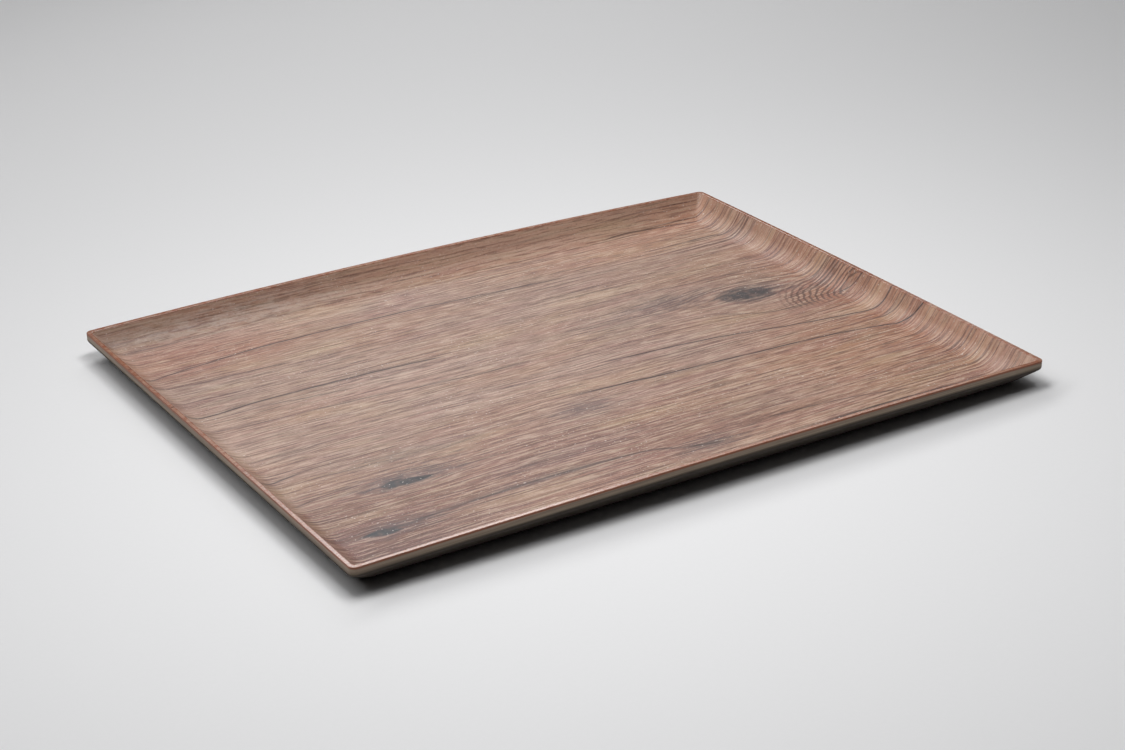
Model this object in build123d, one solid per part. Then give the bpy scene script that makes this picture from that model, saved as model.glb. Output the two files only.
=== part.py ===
from build123d import *
from math import radians, tan
import os

# Flat rectangular serving tray, compression moulded in melamine. Millimetres.
# X runs along the long sides, Y along the short sides and Z is up.
# The origin is on the table, under the middle of the tray.

# ---- Rim ----
TRAY_LENGTH = 440.0        # along X, over the rim at the corners
TRAY_WIDTH = 330.0         # along Y, over the rim at the corners
CORNER_HEIGHT = 15.6       # from the table to the top of the rim, at the corners
LONG_CROWN = 2.5           # how much higher the middle of a long side stands
SHORT_CROWN = 0.7          # how much higher the middle of a short side stands
LIP_WIDTH = 2.5            # strip on top of the rim
RIM_FACE = 5.2             # height of the upright outer face
RIM_CORNER = 3.5           # corner radius of the outline
RIM_UNDER_ROUND = 3.0      # where the upright face turns under
LIP_ROUND = 0.8            # where the lip turns down into the well
EDGE_ROUND = 0.25          # outer top edge of the foil

# ---- Well ----
WELL_DEPTH = 12.4          # from the rim at the corners down to the floor
WALL_SLOPE = 56.0          # degrees above the floor
SWEEP_RADIUS = 16.5        # from the floor up into a wall
VALLEY_RADIUS = 3.5        # where two walls meet

# ---- Underside ----
FLOOR_THICKNESS = 2.6      # with the foil
UNDER_SLOPE = 42.0         # degrees, from the base up to the rim at the corners
UNDER_ROUND = 8.0          # where the base turns up
KNEE_INSET = 0.3           # from the rim face in to the line where the flare steepens
KNEE_DROP = 0.6            # from the lower edge of the rim face down to that line
KNEE_LEAN = 10.0           # degrees off upright, above that line
RUN_SECTIONS = 5           # sections lofted along each side
FOOT_INSET = 27.0          # from the rim in to the foot ring
FOOT_WIDTH = 4.0
FOOT_CORNER = 14.0         # outer corner radius of the foot ring
FOOT_ROUND = 0.25          # lower edges of the foot ring

# ---- Foil ----
FOIL = 0.4                 # printed foil with its clear glaze

# ---- Worked out from the above ----
HALF_LENGTH = TRAY_LENGTH / 2
HALF_WIDTH = TRAY_WIDTH / 2
FLOOR_Z = CORNER_HEIGHT - WELL_DEPTH
BASE_Z = FLOOR_Z - FLOOR_THICKNESS
FACE_Z = CORNER_HEIGHT - RIM_FACE
WALL_RUN = 1 / tan(radians(WALL_SLOPE))      # run for each millimetre of rise
UNDER_RUN = 1 / tan(radians(UNDER_SLOPE))
LEAN_RUN = tan(radians(KNEE_LEAN))
LONG_BOW = LONG_CROWN * WALL_RUN             # the rim follows the sloping wall up and out
SHORT_BOW = SHORT_CROWN * WALL_RUN
SPARE = 20.0                                 # how far cutting shapes run past the tray
HEADROOM = 1.0                               # how far they stand above the rim
TOP_Z = CORNER_HEIGHT + LONG_CROWN + SHORT_CROWN + HEADROOM
ASLANT = 1.0                                 # an edge spanning more than this in x, y and z is a valley


def outline(half_length, half_width, long_bow, short_bow, radius):
    """A rectangle with rounded corners, whose sides bow out by the given amounts."""
    corners = [(half_length, half_width), (-half_length, half_width),
               (-half_length, -half_width), (half_length, -half_width)]
    middles = [(0, half_width + long_bow), (-half_length - short_bow, 0),
               (0, -half_width - long_bow), (half_length + short_bow, 0)]
    sides = [ThreePointArc(corners[k], middles[k], corners[(k + 1) % 4]) for k in range(4)]
    shape = make_face(sides)
    return fillet(shape.vertices(), radius)


def rim_outline():
    """The tray's outline, seen from above."""
    return outline(HALF_LENGTH, HALF_WIDTH, LONG_BOW, SHORT_BOW, RIM_CORNER)


def below_crest(drop):
    """Everything under the crowned surface that the top of the rim follows, lowered by drop."""
    reach_x = HALF_LENGTH + SPARE
    reach_y = HALF_WIDTH + SPARE
    bend_x = LONG_CROWN * (reach_x / HALF_LENGTH) ** 2
    bend_y = SHORT_CROWN * (reach_y / HALF_WIDTH) ** 2
    along_x = [(-reach_x, -bend_x), (0, bend_x), (reach_x, -bend_x)]
    along_y = [(-reach_y, -bend_y), (0, bend_y), (reach_y, -bend_y)]
    middle_z = CORNER_HEIGHT + LONG_CROWN + SHORT_CROWN - drop
    points = [[(x, y, middle_z + up_x + up_y) for y, up_y in along_y] for x, up_x in along_x]
    crest = Face.make_bezier_surface(points)
    return Solid.extrude(crest, Vector(0, 0, -TOP_Z - SPARE))


def well(offset):
    """The hollow of the tray, grown outwards by offset: flat floor, then sweep and wall."""
    floor_z = FLOOR_Z - offset
    inset = LIP_WIDTH + WELL_DEPTH * WALL_RUN - offset * tan(radians(WALL_SLOPE / 2))
    runs = []
    for plane, half_size in ((Plane.XZ, HALF_LENGTH), (Plane.YZ, HALF_WIDTH)):
        low = half_size - inset
        high = low + (TOP_Z - floor_z) * WALL_RUN
        corners = [(-low, floor_z), (low, floor_z), (high, TOP_Z), (-high, TOP_Z)]
        section = make_face(Polyline(*corners, close=True))
        section = fillet(section.vertices().group_by(Axis.Y)[0], SWEEP_RADIUS + offset)
        runs.append(extrude(plane * section, amount=HALF_LENGTH + 2 * SPARE, both=True))
    hollow = runs[0] & runs[1]
    valleys = [edge for edge in hollow.edges() if min(edge.bounding_box().size) > ASLANT]
    return fillet(valleys, VALLEY_RADIUS + offset)


def top_form(offset):
    """A block with the tray's outline, crowned rim and well, its surface sunk by offset."""
    form = Pos(0, 0, -SPARE) * extrude(rim_outline(), amount=TOP_Z + SPARE)
    form = form & below_crest(offset)
    form = form - well(offset)
    lip = form.faces().sort_by(Axis.Z)[-1]
    return fillet(lip.inner_wires()[0].edges(), LIP_ROUND - offset)


def outer_run(plane, half_run, half_size, crown):
    """The outside of the tray for one pair of sides: base, flared sides and rounded lower rim."""
    at_base = half_size - (FACE_Z - BASE_Z) * UNDER_RUN
    reach = half_run + SPARE
    sections = []
    for k in range(RUN_SECTIONS):
        along = reach * (2 * k / (RUN_SECTIONS - 1) - 1)
        rise = crown * (1 - (along / half_run) ** 2)
        knee_x = half_size + rise * WALL_RUN - KNEE_INSET
        knee_z = FACE_Z + rise - KNEE_DROP
        top_x = knee_x + (TOP_Z - knee_z) * LEAN_RUN
        corners = [(-at_base, BASE_Z), (at_base, BASE_Z), (knee_x, knee_z),
                   (top_x, TOP_Z), (-top_x, TOP_Z), (-knee_x, knee_z)]
        section = make_face(Polyline(*corners, close=True))
        section = fillet(section.vertices().group_by(Axis.Y)[1], RIM_UNDER_ROUND)
        section = fillet(section.vertices().group_by(Axis.Y)[0], UNDER_ROUND)
        sections.append(plane.offset(along) * section)
    return loft(sections)


def outer_form():
    """The outside of the tray from the base up past the rim, with an upright rim face."""
    along_x = outer_run(Plane.YZ, HALF_LENGTH, HALF_WIDTH, LONG_CROWN)
    along_y = outer_run(Plane.XZ, HALF_WIDTH, HALF_LENGTH, SHORT_CROWN)
    return along_x & along_y & extrude(rim_outline(), amount=TOP_Z)


def foot_ring():
    """A low ring under the base that the tray stands on."""
    length = TRAY_LENGTH - 2 * FOOT_INSET
    width = TRAY_WIDTH - 2 * FOOT_INSET
    outer = fillet(Rectangle(length, width).vertices(), FOOT_CORNER)
    inner = Rectangle(length - 2 * FOOT_WIDTH, width - 2 * FOOT_WIDTH)
    inner = fillet(inner.vertices(), FOOT_CORNER - FOOT_WIDTH)
    ring = extrude(outer - inner, amount=BASE_Z + FLOOR_THICKNESS / 2)
    return fillet(ring.edges().group_by(Axis.Z)[0], FOOT_ROUND)


def tray_body():
    """The moulded melamine body, up to the underside of the foil."""
    return (outer_form() & top_form(FOIL)) + foot_ring()


def decor_foil():
    """The printed foil over the floor, walls and lip, ending at the rim's outer edge."""
    surface = top_form(0)
    lip = surface.faces().sort_by(Axis.Z)[-1]
    surface = fillet(lip.outer_wire().edges(), EDGE_ROUND)
    return surface - top_form(FOIL)


os.makedirs("parts", exist_ok=True)
export_step(tray_body(), "parts/tray_body.step")
export_step(decor_foil(), "parts/decor_foil.step")
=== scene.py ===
from math import cos, pi, radians, sin, sqrt, tan

import bpy
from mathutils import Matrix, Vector


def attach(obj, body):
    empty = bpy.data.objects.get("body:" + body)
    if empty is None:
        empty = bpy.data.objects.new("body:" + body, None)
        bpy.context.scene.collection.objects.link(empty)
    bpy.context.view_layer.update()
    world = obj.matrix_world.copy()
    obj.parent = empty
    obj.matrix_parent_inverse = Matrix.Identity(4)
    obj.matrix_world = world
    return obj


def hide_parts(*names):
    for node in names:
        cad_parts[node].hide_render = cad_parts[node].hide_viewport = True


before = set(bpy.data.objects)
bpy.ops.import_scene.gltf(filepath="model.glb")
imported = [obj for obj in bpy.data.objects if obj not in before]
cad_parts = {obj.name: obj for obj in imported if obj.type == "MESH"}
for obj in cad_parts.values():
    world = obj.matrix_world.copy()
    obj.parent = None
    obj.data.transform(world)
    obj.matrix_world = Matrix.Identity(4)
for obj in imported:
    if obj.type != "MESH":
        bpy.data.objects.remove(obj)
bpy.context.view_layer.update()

# Lengths in this script are in millimetres, and meshes are scaled to metres when they are made.
MM = 0.001

# ---- Dimensions, the same as the CAD part's ----
HALF_LENGTH = 220.0
HALF_WIDTH = 165.0
CORNER_HEIGHT = 15.6
LONG_CROWN = 2.5
SHORT_CROWN = 0.7
LIP_WIDTH = 2.5
FACE_Z = 10.4
RIM_CORNER = 3.5
RIM_UNDER_ROUND = 3.0
LIP_ROUND = 0.8
EDGE_ROUND = 0.3
WELL_DEPTH = 12.4
WALL_SLOPE = radians(56)
SWEEP_RADIUS = 16.5
VALLEY_RADIUS = 3.5
BASE_Z = 0.6
UNDER_SLOPE = radians(42)
UNDER_ROUND = 8.0
BASE_CORNER = 8.0
FOOT_INSET = 27.0
FOOT_WIDTH = 4.0
FOOT_CORNER = 14.0
FOOT_ROUND = 0.25
FOIL = 0.4

WALL_RUN = 1 / tan(WALL_SLOPE)
UNDER_RUN = 1 / tan(UNDER_SLOPE)
FLOOR_Z = CORNER_HEIGHT - WELL_DEPTH
FLOOR_INSET = LIP_WIDTH + WELL_DEPTH * WALL_RUN + SWEEP_RADIUS * tan(WALL_SLOPE / 2)
LIP_CENTRE = LIP_WIDTH - LIP_ROUND * tan(WALL_SLOPE / 2)
SHARP = 0.05               # corner radius where a contour's corner is crisp
HOLD = 0.04                # share of a flat strip that keeps its own normals at each end
SWEEP_RINGS = 22           # rings in each rounded part
LIP_RINGS = 8
EDGE_RINGS = 5
UNDER_RINGS = 9
FOOT_RINGS = 4
LONG_STEPS = 110           # points along each long side
SHORT_STEPS = 82           # points along each short side
CORNER_STEPS = 10          # points round each corner


class Ring:
    """One line round the tray: how far in from the rim, how high, its corner radius, how much
    of the rim's crown it follows, and its distance along the surface from the floor's edge."""

    def __init__(self, inset, z, corner, crowned, along=0.0):
        self.inset = inset
        self.z = z
        self.corner = corner
        self.crowned = crowned
        self.along = along


def valley_corner(slope, radius):
    """Corner radius of a level contour where two walls of this slope meet in a rounded valley."""
    between_normals = cos(slope) ** 2
    half_turn = sqrt((1 - between_normals) / (1 + between_normals))
    across = 1 / sqrt(2 + tan(slope) ** 2)
    return max(SHARP, radius * half_turn / sqrt(1 - across ** 2))


def spread(start, end, count):
    """Steps from start to end, both counted."""
    return [start + (end - start) * k / (count - 1) for k in range(count)]


def strip(start, end):
    """A flat strip between two rings, with extra rings near its ends that hold its normals."""
    rings = []
    for share in (HOLD, 0.5, 1 - HOLD):
        mixed = [a + (b - a) * share for a, b in zip(vars(start).values(), vars(end).values())]
        rings.append(Ring(*mixed))
    return rings


def top_rings(depth):
    """The decorated surface from the floor's edge out to the lip, sunk by depth."""
    rings = []
    sweep = SWEEP_RADIUS + depth
    sweep_z = FLOOR_Z + SWEEP_RADIUS
    for slope in spread(0, WALL_SLOPE, SWEEP_RINGS):
        inset = FLOOR_INSET - sweep * sin(slope)
        z = sweep_z - sweep * cos(slope)
        corner = valley_corner(slope, VALLEY_RADIUS + depth)
        rings.append(Ring(inset, z, corner, 0, SWEEP_RADIUS * slope))
    wall_corner = rings[-1].corner
    lip = LIP_ROUND - depth
    lip_z = CORNER_HEIGHT - LIP_ROUND
    rounding = []
    wall_end = LIP_CENTRE + lip * sin(WALL_SLOPE)
    wall_length = (rings[-1].inset - wall_end) / cos(WALL_SLOPE)
    along = rings[-1].along + wall_length
    for slope in spread(WALL_SLOPE, 0, LIP_RINGS):
        inset = LIP_CENTRE + lip * sin(slope)
        corner = wall_corner + (RIM_CORNER - wall_corner) * (1 - inset / wall_end)
        rounding.append(Ring(inset, lip_z + lip * cos(slope), corner, 1,
                             along + lip * (WALL_SLOPE - slope)))
    rings += strip(rings[-1], rounding[0]) + rounding
    edge = 0 if depth else EDGE_ROUND
    edge_along = rings[-1].along + LIP_CENTRE
    outer = Ring(edge, CORNER_HEIGHT - depth, RIM_CORNER - edge, 1, edge_along)
    rings += strip(rings[-1], outer)
    if edge:
        for turn in spread(0, pi / 2, EDGE_RINGS):
            inset = edge * (1 - sin(turn))
            z = CORNER_HEIGHT - edge * (1 - cos(turn))
            rings.append(Ring(inset, z, RIM_CORNER - inset, 1, edge_along + edge * turn))
    else:
        rings.append(outer)
    return rings


def under_rings():
    """The body's outside, from the rim face down to the middle of the base inside the foot."""
    rings = []
    face_end = FACE_Z + RIM_UNDER_ROUND * tan((pi / 2 - UNDER_SLOPE) / 2)
    for turn in spread(0, pi / 2 - UNDER_SLOPE, UNDER_RINGS):
        inset = RIM_UNDER_ROUND * (1 - cos(turn))
        rings.append(Ring(inset, face_end - RIM_UNDER_ROUND * sin(turn), RIM_CORNER + inset, 1))
    face_top = Ring(0, CORNER_HEIGHT - FOIL, RIM_CORNER, 1)
    rings = strip(face_top, rings[0]) + rings
    base_inset = (FACE_Z - BASE_Z) * UNDER_RUN + UNDER_ROUND * tan(UNDER_SLOPE / 2)
    base = []
    for slope in spread(UNDER_SLOPE, 0, UNDER_RINGS):
        inset = base_inset - UNDER_ROUND * sin(slope)
        base.append(Ring(inset, BASE_Z + UNDER_ROUND * (1 - cos(slope)), BASE_CORNER, 0))
    rings += strip(rings[-1], base[0]) + base
    inner = FOOT_INSET + FOOT_WIDTH
    inner_corner = FOOT_CORNER - FOOT_WIDTH
    foot = [Ring(FOOT_INSET, BASE_Z, FOOT_CORNER, 0)]
    for turn in spread(0, pi / 2, FOOT_RINGS):
        inset = FOOT_INSET + FOOT_ROUND * (1 - cos(turn))
        foot.append(Ring(inset, FOOT_ROUND * (1 - sin(turn)), FOOT_CORNER, 0))
    for turn in spread(0, pi / 2, FOOT_RINGS):
        inset = inner - FOOT_ROUND * (1 - sin(turn))
        foot.append(Ring(inset, FOOT_ROUND * (1 - cos(turn)), inner_corner, 0))
    foot.append(Ring(inner, BASE_Z, inner_corner, 0))
    rings += strip(rings[-1], foot[0]) + foot
    return rings


def perimeter():
    """Where each point of a ring lies: its share along a side, or its angle round a corner."""
    places = []
    for quarter in range(4):
        steps = LONG_STEPS if quarter % 2 == 0 else SHORT_STEPS
        places += [(quarter, -1 + 2 * k / steps, None) for k in range(steps)]
        places += [(quarter, 1, radians(90) * k / CORNER_STEPS) for k in range(CORNER_STEPS)]
    return places


def ring_points(ring):
    """The ring's points, their places on the flat sheet that was pressed into the tray, and
    their heights without the rim's crown."""
    points = []
    straight = (HALF_LENGTH - ring.inset - ring.corner, HALF_WIDTH - ring.inset - ring.corner)
    for quarter, share, angle in perimeter():
        sideways = quarter % 2
        x = share * straight[sideways]
        y = straight[1 - sideways]
        turn = angle or 0.0
        out = Vector((sin(turn), -cos(turn), 0))
        place = Vector((x, -y, 0)) + out * ring.corner
        for _ in range(quarter):
            place = Vector((-place.y, place.x, 0))
            out = Vector((-out.y, out.x, 0))
        long_rise = LONG_CROWN * max(0, 1 - (place.x / HALF_LENGTH) ** 2) * out.y ** 2
        short_rise = SHORT_CROWN * max(0, 1 - (place.y / HALF_WIDTH) ** 2) * out.x ** 2
        rise = (long_rise + short_rise) * ring.crowned
        stretch = ring.along - (FLOOR_INSET - ring.inset) + rise * (1 / sin(WALL_SLOPE) - WALL_RUN)
        place += out * rise * WALL_RUN
        points.append((place + Vector((0, 0, ring.z + rise)), place + out * stretch, ring.z))
    return points


class Shell:
    """A mesh made from rings, with a level sheet to close it at either end."""

    def __init__(self):
        self.points = []
        self.faces = []
        self.kinds = []

    def add_ring(self, ring):
        """Adds the ring's points and says where they start."""
        start = len(self.points)
        self.points += ring_points(ring)
        return start

    def join(self, first, second, kind):
        """Faces between two rings, which face left of the way from first to second."""
        count = len(perimeter())
        for k in range(count):
            n = (k + 1) % count
            self.faces.append((first + k, first + n, second + n, second + k))
            self.kinds.append(kind)

    def fill(self, start, ring, facing_up, kind):
        """Closes a ring with a grid, and with a fan at each corner."""
        count = len(perimeter())
        grid = {}
        half_x = HALF_LENGTH - ring.inset - ring.corner
        half_y = HALF_WIDTH - ring.inset - ring.corner
        for i in range(LONG_STEPS + 1):
            for j in range(SHORT_STEPS + 1):
                x = half_x * (2 * i / LONG_STEPS - 1)
                y = half_y * (2 * j / SHORT_STEPS - 1)
                grid[i, j] = len(self.points)
                self.points.append((Vector((x, y, ring.z)), Vector((x, y, 0)), ring.z))
        faces = []
        for i in range(LONG_STEPS):
            for j in range(SHORT_STEPS):
                faces.append((grid[i, j], grid[i + 1, j], grid[i + 1, j + 1], grid[i, j + 1]))
        rims = [[grid[i, 0] for i in range(LONG_STEPS + 1)],
                [grid[LONG_STEPS, j] for j in range(SHORT_STEPS + 1)],
                [grid[LONG_STEPS - i, SHORT_STEPS] for i in range(LONG_STEPS + 1)],
                [grid[0, SHORT_STEPS - j] for j in range(SHORT_STEPS + 1)]]
        k = 0
        for rim in rims:
            for a, b in zip(rim, rim[1:]):
                faces.append((start + k, start + k + 1, b, a))
                k += 1
            for _ in range(CORNER_STEPS):
                faces.append((start + k, start + (k + 1) % count, rim[-1]))
                k += 1
        for face in faces:
            self.faces.append(face if facing_up else face[::-1])
            self.kinds.append(kind)

    def build(self, name, materials):
        """Makes the Blender object. A face's kind is the number of its material."""
        mesh = bpy.data.meshes.new(name)
        mesh.from_pydata([tuple(place * MM) for place, _, _ in self.points], [], self.faces)
        for material in materials:
            mesh.materials.append(material)
        mesh.polygons.foreach_set("material_index", self.kinds)
        mesh.polygons.foreach_set("use_smooth", [True] * len(self.faces))
        sheet = mesh.attributes.new("sheet", "FLOAT_VECTOR", "POINT")
        values = [v for _, flat, level in self.points for v in (flat.x, flat.y, level)]
        sheet.data.foreach_set("vector", values)
        mesh.validate()
        mesh.update()
        piece = bpy.data.objects.new(name, mesh)
        bpy.context.scene.collection.objects.link(piece)
        return piece


def foil_shell():
    """The printed foil: its face, its thin outer edge and its hidden underside."""
    shell = Shell()
    face = top_rings(0)
    back = top_rings(FOIL)
    face_starts = [shell.add_ring(ring) for ring in face]
    back_starts = [shell.add_ring(ring) for ring in back]
    shell.fill(face_starts[0], face[0], True, 0)
    shell.fill(back_starts[0], back[0], False, 0)
    edge_start = len(face) - EDGE_RINGS
    for k, (a, b) in enumerate(zip(face_starts, face_starts[1:])):
        shell.join(b, a, 1 if k >= edge_start else 0)
    shell.join(back_starts[-1], face_starts[-1], 1)
    for a, b in zip(back_starts, back_starts[1:]):
        shell.join(a, b, 0)
    return shell


def body_shell():
    """The moulded body, from the underside of the foil round to the base and foot."""
    shell = Shell()
    seat = top_rings(FOIL)
    under = under_rings()
    starts = [shell.add_ring(ring) for ring in seat + under]
    shell.fill(starts[0], seat[0], True, 0)
    for a, b in zip(starts, starts[1:]):
        shell.join(b, a, 0)
    shell.fill(starts[-1], under[-1], False, 0)
    return shell


# ---- Node materials ----
class Wire:
    """A value in a node tree, which can be added to, multiplied and so on."""

    def __init__(self, shader, socket):
        self.shader = shader
        self.socket = socket

    def _math(self, operation, *others):
        return self.shader.math(operation, self, *others)

    def __add__(self, other):
        return self._math("ADD", other)

    def __radd__(self, other):
        return self.shader.math("ADD", other, self)

    def __sub__(self, other):
        return self._math("SUBTRACT", other)

    def __rsub__(self, other):
        return self.shader.math("SUBTRACT", other, self)

    def __mul__(self, other):
        return self._math("MULTIPLY", other)

    def __truediv__(self, other):
        return self._math("DIVIDE", other)


class Shader:
    """A node material, built up one step at a time."""

    def __init__(self, name):
        self.material = bpy.data.materials.new(name)
        self.material.use_nodes = True
        self.nodes = self.material.node_tree.nodes
        self.links = self.material.node_tree.links
        self.nodes.clear()

    def node(self, kind, inputs, **settings):
        made = self.nodes.new(kind)
        for key, value in settings.items():
            setattr(made, key, value)
        for key, value in inputs.items():
            if isinstance(value, Wire):
                self.links.new(value.socket, made.inputs[key])
            else:
                made.inputs[key].default_value = value
        return made

    def math(self, operation, *values):
        made = self.node("ShaderNodeMath", dict(enumerate(values)), operation=operation)
        return Wire(self, made.outputs[0])

    def sheet(self):
        """Position on the flat sheet in millimetres, and height as if the rim had no crown."""
        found = self.node("ShaderNodeAttribute", {}, attribute_name="sheet")
        split = self.node("ShaderNodeSeparateXYZ", {0: Wire(self, found.outputs["Vector"])})
        return [Wire(self, out) for out in split.outputs]

    def place(self):
        """Position in the shared frame in millimetres."""
        found = self.node("ShaderNodeTexCoord", {})
        split = self.node("ShaderNodeSeparateXYZ", {0: Wire(self, found.outputs["Object"])})
        return [Wire(self, out) * (1 / MM) for out in split.outputs]

    def noise(self, x, y, detail=2.0, rough=0.5, z=0.0):
        """Noise with features about one unit across, from 0 to 1."""
        where = self.node("ShaderNodeCombineXYZ", {0: x, 1: y, 2: z})
        inputs = {"Vector": Wire(self, where.outputs[0]), "Scale": 1.0, "Detail": detail,
                  "Roughness": rough}
        return Wire(self, self.node("ShaderNodeTexNoise", inputs).outputs[0])

    def ramp(self, value, low, high):
        """0 at low and 1 at high, smoothly between. Low may be the larger."""
        inputs = {0: value, 1: low, 2: high, 3: 0.0, 4: 1.0}
        made = self.node("ShaderNodeMapRange", inputs, interpolation_type="SMOOTHSTEP")
        return Wire(self, made.outputs[0])

    def mix(self, share, first, second):
        """A blend of two colours."""
        made = self.node("ShaderNodeMix", {}, data_type="RGBA")
        for socket, value in ((made.inputs[0], share), (made.inputs[6], first),
                              (made.inputs[7], second)):
            if isinstance(value, Wire):
                self.links.new(value.socket, socket)
            else:
                socket.default_value = value
        return Wire(self, made.outputs[2])

    def curve(self, value, points):
        """A smooth line through given points from 0 to 1."""
        made = self.node("ShaderNodeFloatCurve", {0: 1.0, 1: value})
        line = made.mapping.curves[0]
        while len(line.points) < len(points):
            line.points.new(0.5, 0.5)
        for point, (x, y) in zip(line.points, points):
            point.location = (x, y)
        made.mapping.update()
        return Wire(self, made.outputs[0])

    def bump(self, height, distance):
        """Surface relief from a height of 0 to 1, where 1 stands for distance, in millimetres."""
        inputs = {"Height": height, "Distance": distance * MM}
        return Wire(self, self.node("ShaderNodeBump", inputs).outputs[0])

    def finish(self, colour, roughness, normal):
        inputs = {"Base Color": colour, "Roughness": roughness, "Normal": normal}
        surface = self.node("ShaderNodeBsdfPrincipled", inputs)
        output = self.node("ShaderNodeOutputMaterial", {})
        self.links.new(surface.outputs[0], output.inputs[0])
        return self.material


def rgb(red, green, blue):
    """A linear colour from screen values of 0 to 255."""
    linear = []
    for value in (red, green, blue):
        share = value / 255
        linear.append(share / 12.92 if share <= 0.04045 else ((share + 0.055) / 1.055) ** 2.4)
    return (*linear, 1.0)


# Cracks and dark grain lines: points in millimetres on the sheet, width, darkness
CRACKS = [
    ([(-240, 101), (-222, 101), (-210, 103), (-202, 106), (-165, 112), (-124, 116), (-49, 117),
      (1, 115), (80, 110)], 0.8, 0.8),
    ([(-240, 42), (-222, 42), (-210, 47), (-202, 46), (-161, 49), (-100, 49), (-45, 46)], 1.0, 0.9),
    ([(-204, 42), (-190, 41), (-170, 42), (-140, 39), (-110, 37)], 0.7, 0.5),
    ([(-212, 27), (-200, 26), (-180, 24), (-124, 22), (-74, 17), (-8, 13)], 0.7, 0.55),
    ([(-205, 88), (-165, 88), (-142, 88), (-120, 85)], 0.7, 0.45),
    ([(20, -10), (76, -14), (110, -18), (138, -24), (176, -30), (200, -33), (215, -35),
      (240, -32)], 0.8, 0.85),
    ([(-20, -38), (38, -42), (101, -46), (150, -49), (188, -54), (206, -59), (218, -63),
      (240, -68)], 0.9, 0.95),
    ([(-168, -120), (-130, -117), (-86, -115), (-24, -117), (1, -125), (28, -131)], 1.5, 0.6),
    ([(52, -119), (101, -122), (130, -127), (155, -134)], 0.7, 0.55),
    ([(80, -141), (120, -140), (160, -141), (205, -143)], 0.9, 0.8),
    ([(128, 148), (145, 151), (165, 150), (203, 146), (225, 140)], 0.9, 0.7),
    ([(85, 64), (120, 61), (178, 58)], 0.8, 0.5),
    ([(118, 14), (134, 4), (156, -4), (188, -4)], 0.7, 0.6),
    ([(-240, -46), (-222, -47), (-208, -46), (-198, -44), (-180, -41)], 0.9, 0.75),
    ([(-214, -80), (-200, -74), (-186, -71), (-160, -70)], 0.8, 0.5),
    ([(196, 2), (208, -3), (216, -6), (240, -10)], 0.8, 0.7),
    ([(192, -43), (206, -46), (218, -48), (240, -50)], 0.8, 0.6),
    ([(170, 118), (190, 120), (208, 116), (240, 108)], 0.8, 0.5),
    ([(-60, -6), (-10, -14), (40, -20), (70, -22)], 0.7, 0.35),
]

# Knots: middle, half length, half width, darkness, raggedness
KNOTS = [
    (156, 27, 25, 13, 0.88, 0.4),
    (-146, -79, 15, 5, 1.0, 1.2),
    (-180, -122, 12, 3.2, 1.0, 1.1),
]

# Smoky patches: middle, half length, half width, darkness
PATCHES = [
    (108, 41, 56, 17, 0.6),
    (156, 28, 42, 20, 0.4),
    (-140, -76, 46, 14, 0.8),
    (-126, -52, 62, 9, 0.4),
    (-60, -98, 70, 10, 0.35),
    (-18, -56, 26, 10, 0.65),
    (16, -128, 32, 10, 0.7),
    (-172, -120, 36, 10, 0.75),
    (-90, -115, 60, 5, 0.5),
    (60, 34, 44, 12, 0.25),
    (186, 20, 8, 5, 0.5),
    (60, -44, 60, 6, 0.25),
]

# Broad colour changes, some of them painted light and shade: the paler ones at the back and left
# stand in for light, the darker ones at the front for shade. Columns: middle, half length, half
# width, colour, strength
TINTS_AND_PAINTED_LIGHT = [
    (-175, 122, 84, 36, (160, 96, 70), 0.6),
    (-190, -124, 92, 60, (98, 56, 50), 0.9),
    (172, -75, 90, 110, (168, 114, 80), 0.52),
    (155, 134, 104, 30, (174, 116, 80), 0.5),
    (-65, -106, 155, 58, (132, 88, 72), 0.7),
    (-105, -46, 70, 24, (138, 102, 90), 0.35),
    (204, 12, 40, 40, (138, 82, 58), 0.55),
    (214, -10, 34, 170, (156, 94, 64), 0.55),
    (-148, 157, 95, 10, (192, 160, 142), 0.5),
    (-110, 168, 120, 7, (160, 106, 86), 0.5),
    (196, 155, 44, 22, (194, 132, 100), 0.5),
    (-205, 15, 44, 44, (200, 172, 156), 0.35),
    (-98, 33, 70, 20, (200, 176, 164), 0.3),
    (60, 162, 190, 17, (212, 168, 146), 0.7),
]


# Colours of the print, and of the painted sheen and glints laid over it
COOL_WOOD = (rgb(130, 98, 87), rgb(182, 152, 137))
WARM_WOOD = (rgb(136, 94, 73), rgb(184, 147, 121))
GOLDEN = rgb(184, 156, 122)
ROSY = rgb(150, 106, 98)
OLIVE = rgb(164, 150, 126)
BLUSH = rgb(174, 130, 118)
PAINTED_WALL_SHEEN = rgb(202, 166, 140)
GRAIN_LINE = rgb(92, 66, 60)
PALE_FIBRE = rgb(215, 190, 170)
PORE = rgb(86, 58, 50)
PALE_GRIT = rgb(206, 184, 172)
DARK_GRIT = rgb(96, 74, 68)
GROWTH_RING = rgb(84, 58, 50)
SMOKE = rgb(90, 77, 78)
KNOT_HEART = rgb(46, 48, 52)
CRACK_HALO = rgb(104, 78, 72)
CRACK_HEART = rgb(48, 40, 42)
PAINTED_GLINT = rgb(232, 222, 214)
PAINTED_SHEEN_PATCH = rgb(206, 188, 176)
WORN_LIP = rgb(142, 80, 54)

# Colours of the other surfaces, dark and pale where there are two
CUT_EDGE = (rgb(128, 72, 48), rgb(168, 108, 80))
MELAMINE = (rgb(118, 98, 80), rgb(164, 144, 122))
SEAM_STAIN = rgb(150, 80, 50)
# painted shade: near black for the underside below the rim, where it lies in shadow
PAINTED_UNDER_SHADE = rgb(38, 32, 28)
TABLE_TOP = (rgb(229, 229, 230), rgb(231, 231, 232))

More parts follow.
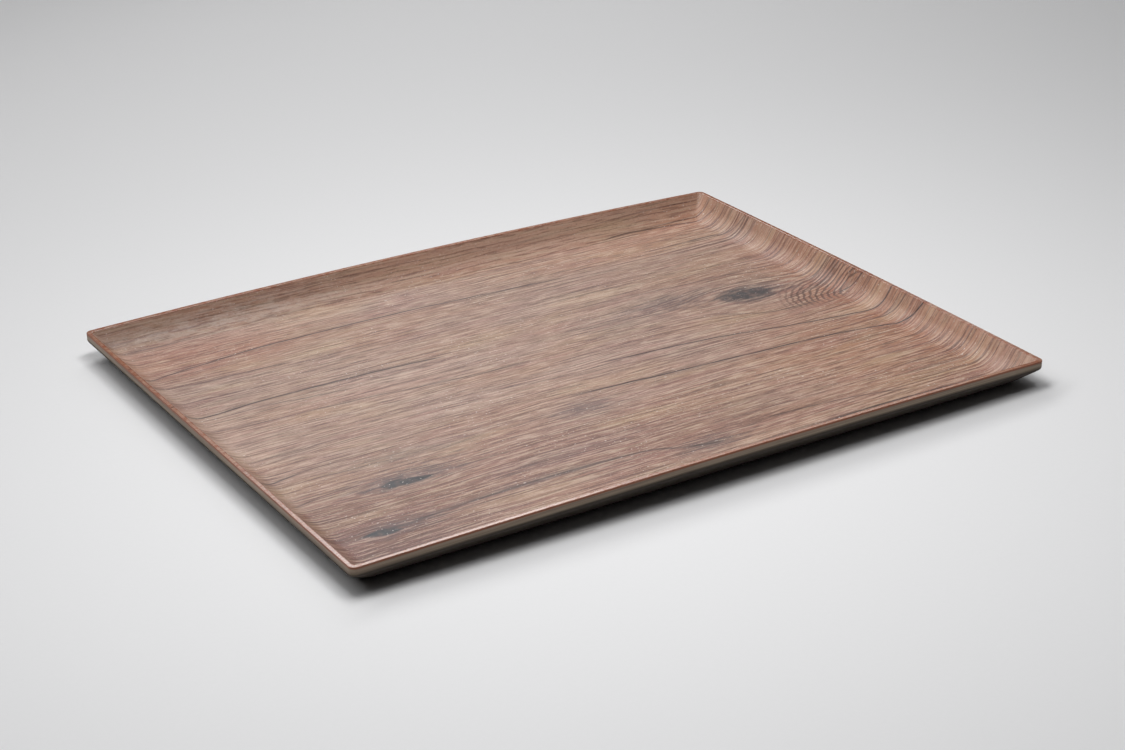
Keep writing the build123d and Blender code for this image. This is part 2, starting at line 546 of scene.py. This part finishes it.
# Pattern sizes, in millimetres unless said otherwise. A fade is where something begins to show,
# and where it shows in full.
GRAIN_WAVE = 7.0           # sideways wander of the grain
GRAIN_SHIVER = 0.4         # the same, over short stretches
KNOT_CLEARANCE = (1.7, 1.9)    # reach of a knot's push on the grain, in knot half sizes
KNOT_PUSH = 0.75           # how far the grain gives way, from 0 to 1
LINES_FADE = (150.0, 208.0)    # along x, where the long lines grow stronger
# The walls' painted sheen fades in between these two heights.
PAINTED_SHEEN_FADE = (3.7, 8.8)    # heights on the walls, for their sheen
QUIET_FADE = (4.0, 9.0)    # and for their quieter fibres
RINGS_MIDDLE = (213, -6)   # growth rings beside the large knot
RINGS_STRETCH = 1.3        # how much longer than wide they are
RINGS_TURN = 2.0           # radians of ripple in each millimetre
RINGS_SHAKE = 7.0          # how ragged they are, in radians
OUTER_RINGS_FADE = (46.0, 26.0)    # distance from their middle
INNER_RINGS_FADE = (2.0, 7.0)
FRONT_RINGS_FADE = (-13.0, -2.0)   # along y
WALL_RINGS_FADE = (236.0, 218.0)   # along x
CRACK_TAPER = 12           # from a crack's end to its full depth
CRACK_HALO_WIDTH = 5       # in crack widths
# Where the patch of painted sheen lies, on the back wall at the left.
SHEEN_PATCH_OVAL = (-140, 158, 100, 12)     # middle, half length, half width
LIP_FADE = (CORNER_HEIGHT - 0.9, CORNER_HEIGHT - 0.2)
SEAM_FADE = (CORNER_HEIGHT - 1.3, CORNER_HEIGHT - 0.9)
# heights where the painted shade under the rim begins and where it is full
PAINTED_SHADE_FADE = (FACE_Z + 2.2, FACE_Z + 0.4)
PRINT_RELIEF = 0.1         # depth of each surface's texture
EDGE_RELIEF = 0.05
BODY_RELIEF = 0.03
TABLE_RELIEF = 0.02


class WoodPrint:
    """The wood print: places on the flat sheet, the grain, and the colour laid down so far."""

    def __init__(self, shader):
        self.shader = shader
        self.x, self.y, self.level = shader.sheet()
        waver = shader.noise(self.x * 0.009, self.y * 0.03) - 0.5
        self.shiver = shader.noise(self.x * 0.05, self.y * 0.25, 3.0) - 0.5
        self.grain_y = self.y + waver * GRAIN_WAVE + self.shiver * GRAIN_SHIVER
        for middle_x, middle_y, half_length, half_width, _, _ in KNOTS:
            away = self.oval(middle_x, middle_y, half_length * KNOT_CLEARANCE[0],
                             half_width * KNOT_CLEARANCE[1])
            push = shader.math("EXPONENT", away * away * -1.0)
            self.grain_y = self.grain_y - (self.y - middle_y) * push * KNOT_PUSH
        self.fine = self.grain(0.035, 0.72, 1.0, 0.6)
        self.strand = self.grain(0.007, 0.7, 1.0, 0.5, 3.0)
        self.fibre = self.grain(0.07, 0.85, 1.0, 0.5, 6.0)
        self.colour = None

    def grain(self, along, across, *rest):
        """Noise that follows the grain, with its frequencies along and across it."""
        return self.shader.noise(self.x * along, self.grain_y * across, *rest)

    def spots(self, along, across, *rest):
        """Noise that ignores the grain's wander."""
        return self.shader.noise(self.x * along, self.y * across, *rest)

    def oval(self, middle_x, middle_y, half_length, half_width):
        """Distance from the middle of an oval, 1 at its edge."""
        across = (self.x - middle_x) / half_length
        up = (self.y - middle_y) / half_width
        return self.shader.math("SQRT", across * across + up * up)

    def lay(self, share, tint):
        """Blends a colour over what is there."""
        self.colour = self.shader.mix(share, self.colour, tint)

    def lay_wood(self):
        """Pale and dark wood in bands and streaks, with broad and fine changes of hue, broad
        patches of painted light and shade, and painted sheen on the walls.
        """
        s = self.shader
        bands = self.grain(0.004, 0.05, 3.0, 0.55)
        streaks = self.grain(0.01, 0.3, 4.0, 0.6)
        warmth = self.grain(0.008, 0.022, 2.0, 0.5, 7.0)
        tone = s.ramp(bands * 0.3 + streaks * 0.22 + self.fine * 0.48, 0.22, 0.78)
        cool = s.mix(tone, *COOL_WOOD)
        warm = s.mix(tone, *WARM_WOOD)
        self.colour = s.mix(s.ramp(warmth, 0.4, 0.65) * 0.7, cool, warm)
        # Broad tints, some of them painted light and shade: paler at the back and left, darker at
        # the front.
        for middle_x, middle_y, half_length, half_width, tint, strength in TINTS_AND_PAINTED_LIGHT:
            away = self.oval(middle_x, middle_y, half_length, half_width)
            self.lay(s.ramp(away, 1.2, 0.2) * strength, rgb(*tint))
        self.lay(s.ramp(self.grain(0.011, 0.045, 2.0, 0.5, 13.0), 0.5, 0.72) * 0.4, GOLDEN)
        self.lay(s.ramp(self.grain(0.012, 0.06, 2.0, 0.5, 17.0), 0.5, 0.72) * 0.45, ROSY)
        tinge = self.grain(0.025, 0.45, 2.0, 0.6, 19.0)
        self.lay(s.ramp(tinge, 0.5, 0.66) * 0.3, OLIVE)
        self.lay(s.ramp(tinge, 0.5, 0.34) * 0.3, BLUSH)
        # Painted sheen: the walls are laid paler than the floor, as if they caught more light.
        self.lay(s.ramp(self.level, *PAINTED_SHEEN_FADE) * 0.2, PAINTED_WALL_SHEEN)

    def lay_fibres(self):
        """Long thin lines, stronger near the right-hand wall, then pale dashes, pores and grit."""
        s = self.shader
        lines = s.ramp(self.grain(0.008, 0.6, 1.0, 0.5, 5.0), 0.43, 0.35)
        self.lay(lines * (s.ramp(self.x, *LINES_FADE) * 0.2 + 0.4), GRAIN_LINE)
        weaker = s.ramp(self.level, *QUIET_FADE) * 0.18
        pale = s.ramp(self.strand * 0.45 + self.fibre * 0.55, 0.52, 0.58)
        pores = s.ramp(self.strand * 0.5 + self.fibre * 0.5, 0.47, 0.4)
        self.lay(pale * (0.38 - weaker), PALE_FIBRE)
        self.lay(pores * (0.54 - weaker), PORE)
        # The grit's noise is slanted, so that it doesn't line up with the tray's sides.
        grit = s.noise(self.x * 0.42 + self.y * 0.23, self.y * 0.7 - self.x * 0.19, 3.0, 0.8, 15.0)
        self.lay(s.ramp(grit, 0.54, 0.7) * 0.35, PALE_GRIT)
        self.lay(s.ramp(grit, 0.46, 0.3) * 0.4, DARK_GRIT)
        return pale, pores

    def lay_growth_rings(self):
        """Rings that show beside the large knot and on the wall behind it."""
        s = self.shader
        away = self.oval(*RINGS_MIDDLE, RINGS_STRETCH, 1.0)
        ripple = s.math("SINE", away * RINGS_TURN + self.shiver * RINGS_SHAKE)
        mask = s.ramp(away, *OUTER_RINGS_FADE) * s.ramp(away, *INNER_RINGS_FADE)
        mask = mask * s.ramp(self.y, *FRONT_RINGS_FADE) * s.ramp(self.x, *WALL_RINGS_FADE)
        self.lay(s.ramp(ripple, -0.1, 0.7) * mask * 0.75, GROWTH_RING)

    def lay_knots(self):
        """Smoky patches, and the knots' dark hearts on them."""
        s = self.shader
        cloud = self.grain(0.07, 0.3, 4.0, 0.65, 11.0)
        mottle = s.ramp(self.grain(0.2, 0.8, 3.0, 0.6, 2.0), 0.35, 0.6)
        frayed = (cloud - 0.5) * 1.8 + (self.fibre - 0.5) * 0.8
        smoke = 0.0
        for middle_x, middle_y, half_length, half_width, depth in PATCHES:
            away = self.oval(middle_x, middle_y, half_length, half_width)
            smoke = s.math("MAXIMUM", s.ramp(away + frayed, 1.1, 0.1) * depth, smoke)
        self.lay(smoke * (mottle * 0.5 + 0.5), SMOKE)
        ragged = (cloud - 0.5) * 1.2 + (self.strand - 0.5) * 1.6 + (self.fibre - 0.5) * 1.6
        hearts = 0.0
        for middle_x, middle_y, half_length, half_width, depth, torn in KNOTS:
            away = self.oval(middle_x, middle_y, half_length, half_width)
            hearts = s.math("MAXIMUM", s.ramp(away + ragged * torn, 1.1, 0.45) * depth, hearts)
        self.lay(hearts * (mottle * 0.35 + 0.65), KNOT_HEART)
        return smoke

    def crack(self, wandering_y, points, width):
        """1 on a thin line through the points, fading at its ends, and the same for its halo."""
        s = self.shader
        (start_x, _), (end_x, _) = points[0], points[-1]
        low = min(y for _, y in points) - 2
        high = max(y for _, y in points) + 2
        length = end_x - start_x
        shares = [((x - start_x) / length, (y - low) / (high - low)) for x, y in points]
        line = s.curve((self.x - start_x) / length, shares) * (high - low) + low
        off = s.math("ABSOLUTE", wandering_y - line)
        ends = (s.ramp(self.x, start_x, start_x + CRACK_TAPER)
                * s.ramp(self.x, end_x, end_x - CRACK_TAPER))
        heart = s.ramp(off, width, width * 0.2) * ends
        return heart, s.ramp(off, width * CRACK_HALO_WIDTH, 0.0) * ends

    def lay_cracks(self):
        """Dark cracks that break off and go on, each with a soft brown halo."""
        s = self.shader
        wandering_y = self.y + (self.spots(0.05, 0.2, 3.0) - 0.5)
        dark = 0.0
        halo = 0.0
        for points, width, depth in CRACKS:
            heart, soft = self.crack(wandering_y, points, width)
            dark = s.math("MAXIMUM", heart * depth, dark)
            halo = s.math("MAXIMUM", soft * (depth * 0.3), halo)
        broken = s.ramp(self.spots(0.06, 0.06, 2.0), 0.3, 0.5)
        self.lay(halo, CRACK_HALO)
        self.lay(dark * (broken * 0.4 + 0.6), CRACK_HEART)
        return dark

    def lay_painted_glints_and_sheen(self, smoke):
        """Painted glints as tiny pale flecks, most of all near the knots, and a dappled patch of
        painted sheen.
        """
        s = self.shader
        # Painted glints: tiny pale flecks, thickest near the knots, which also raise the relief a
        # little.
        glint_fleck = s.ramp(self.spots(0.5, 0.75, 1.0, 0.5, 9.0), 0.66, 0.74)
        gather = s.ramp(self.spots(0.02, 0.03, 2.0, 0.5, 4.0), 0.4, 0.65)
        glint_fleck = glint_fleck * s.math("MAXIMUM", gather, smoke * 1.4)
        self.lay(glint_fleck * 0.6, PAINTED_GLINT)
        # Painted sheen: a pale dappled patch on the back wall at the left, where it catches the
        # light.
        sheen_area = s.ramp(self.oval(*SHEEN_PATCH_OVAL), 1.2, 0.3)
        dappled = s.ramp(self.spots(0.09, 0.22, 4.0, 0.75, 21.0), 0.42, 0.6)
        self.lay(sheen_area * dappled * 0.4, PAINTED_SHEEN_PATCH)
        return glint_fleck


def decor_material():
    """Wood-grain print under a satin glaze, smoother and a little worn along the lip."""
    s = Shader("oak_print")
    wood = WoodPrint(s)
    wood.lay_wood()
    pale, pores = wood.lay_fibres()
    wood.lay_growth_rings()
    smoke = wood.lay_knots()
    dark = wood.lay_cracks()
    glint_fleck = wood.lay_painted_glints_and_sheen(smoke)
    lip = s.ramp(wood.level, *LIP_FADE)
    worn = s.ramp(wood.spots(0.25, 0.25, 3.0, 0.6, 8.0), 0.45, 0.62)
    wood.lay(lip * (worn * 0.45 + 0.35), WORN_LIP)
    height = wood.fine * 0.4 + pale * 0.35 - pores * 0.5 - dark + glint_fleck * 0.5
    roughness = (0.46 + (wood.fine - 0.5) * 0.2) * (1.0 - lip * 0.56)
    return s.finish(wood.colour, roughness, s.bump(height * (1.0 - lip * 0.95), PRINT_RELIEF))


def edge_material():
    """The foil's cut edge, which shows reddish brown."""
    s = Shader("foil_edge")
    x, y, _ = s.place()
    mottle = s.noise(x * 0.25, y * 0.25, 3.0)
    colour = s.mix(mottle, *CUT_EDGE)
    return s.finish(colour, 0.3, s.bump(mottle, EDGE_RELIEF))


def body_material():
    """Dull taupe melamine, stained by the foil at the seam, with painted shade darkening it under
    the rim.
    """
    s = Shader("moulded_melamine")
    x, y, z = s.place()
    _, _, level = s.sheet()
    cloudy = s.noise(x * 0.03, y * 0.03, 3.0, 0.5, z * 0.03)
    layers = s.noise(x * 0.012, y * 0.012, 2.0, 0.6, level * 0.9)
    grainy = s.noise(x * 1.6, y * 1.6, 2.0, 0.6, z * 1.6)
    tone = cloudy * 0.4 + s.ramp(layers, 0.35, 0.6) * 0.6
    colour = s.mix(tone, *MELAMINE)
    colour = s.mix(s.ramp(level, *SEAM_FADE) * 0.85, colour, SEAM_STAIN)
    # Painted shade: the body is laid near black below the rim face, where it lies in shadow, and is
    # rougher there.
    underside = s.ramp(level, *PAINTED_SHADE_FADE)
    colour = s.mix(underside * 0.9, colour, PAINTED_UNDER_SHADE)
    roughness = 0.5 + (grainy - 0.5) * 0.2 + underside * 0.35
    return s.finish(colour, roughness, s.bump(grainy, BODY_RELIEF))


def floor_material():
    """Plain pale table top."""
    s = Shader("pale_table")
    x, y, _ = s.place()
    speckle = s.noise(x * 0.4, y * 0.4, 2.0)
    colour = s.mix(speckle, *TABLE_TOP)
    return s.finish(colour, 0.75, s.bump(speckle, TABLE_RELIEF))


foil = foil_shell().build("printed_foil", [decor_material(), edge_material()])
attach(foil, "root")
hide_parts("decor_foil")
body = body_shell().build("moulded_body", [body_material()])
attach(body, "root")
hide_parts("tray_body")

# ---- Table ----
TABLE_SIZE = 9000.0
half = TABLE_SIZE / 2 * MM
table_mesh = bpy.data.meshes.new("table_top")
table_mesh.from_pydata([(-half, -half, 0), (half, -half, 0), (half, half, 0), (-half, half, 0)],
                       [], [(0, 1, 2, 3)])
table_mesh.materials.append(floor_material())
table = bpy.data.objects.new("table_top", table_mesh)
bpy.context.scene.collection.objects.link(table)

# ---- Camera ----
CAMERA_AZIMUTH = radians(-32.65)
CAMERA_ELEVATION = radians(24.66)
CAMERA_AIM = Vector((-12.8, -24.8, 10.0))
CAMERA_DISTANCE = 1267.0
SENSOR_WIDTH = 36.0
LENS = 72.26
back = Vector((sin(CAMERA_AZIMUTH) * cos(CAMERA_ELEVATION),
               -cos(CAMERA_AZIMUTH) * cos(CAMERA_ELEVATION), sin(CAMERA_ELEVATION)))
camera_data = bpy.data.cameras.new("camera")
camera_data.sensor_width = SENSOR_WIDTH
camera_data.lens = LENS
camera = bpy.data.objects.new("camera", camera_data)
camera.location = (CAMERA_AIM + back * CAMERA_DISTANCE) * MM
camera.rotation_mode = "QUATERNION"
camera.rotation_quaternion = (-back).to_track_quat("-Z", "Y")
bpy.context.scene.collection.objects.link(camera)
bpy.context.scene.camera = camera

# ---- Lights: name, place, aim, width, depth, power in watts ----
SOFTBOXES = [
    ("overhead_softbox", (-100, 0, 700), (220, -600, 0), 500, 240, 3.8),
    ("back_softbox", (-150, 850, 900), (300, -40, 0), 2400, 300, 10.6),
    ("front_softbox", (350, -250, 1500), (0, 0, 0), 500, 500, 3.8),
    ("rim_light", (830, 985, 741), (830, -165, 18), 1000, 110, 1.1),
]
SKY_LOW = 0.35             # height of the direction where the room's light begins
SKY_HIGH = 0.8             # and where it is at full strength
SKY_STRENGTH = 0.06


def softbox(name, place, aim, width, depth, power):
    """A rectangular light that faces a point on the table."""
    data = bpy.data.lights.new(name, "AREA")
    data.shape = "RECTANGLE"
    data.size = width * MM
    data.size_y = depth * MM
    data.energy = power
    light = bpy.data.objects.new(name, data)
    light.location = Vector(place) * MM
    light.rotation_mode = "QUATERNION"
    light.rotation_quaternion = (Vector(place) - Vector(aim)).to_track_quat("Z", "Y")
    light.visible_camera = False
    bpy.context.scene.collection.objects.link(light)


def room_light():
    """Soft light from the room, which comes from above and not along the table."""
    world = bpy.data.worlds.new("studio")
    world.use_nodes = True
    nodes = world.node_tree.nodes
    direction = nodes.new("ShaderNodeTexCoord")
    split = nodes.new("ShaderNodeSeparateXYZ")
    strength = nodes.new("ShaderNodeMapRange")
    strength.interpolation_type = "SMOOTHSTEP"
    strength.inputs["From Min"].default_value = SKY_LOW
    strength.inputs["From Max"].default_value = SKY_HIGH
    strength.inputs["To Max"].default_value = SKY_STRENGTH
    nodes["Background"].inputs["Color"].default_value = (1, 1, 1, 1)
    join = world.node_tree.links.new
    join(direction.outputs["Generated"], split.inputs[0])
    join(split.outputs["Z"], strength.inputs["Value"])
    join(strength.outputs[0], nodes["Background"].inputs["Strength"])
    bpy.context.scene.world = world


for settings in SOFTBOXES:
    softbox(*settings)
room_light()
bpy.context.scene.view_settings.view_transform = "Standard"
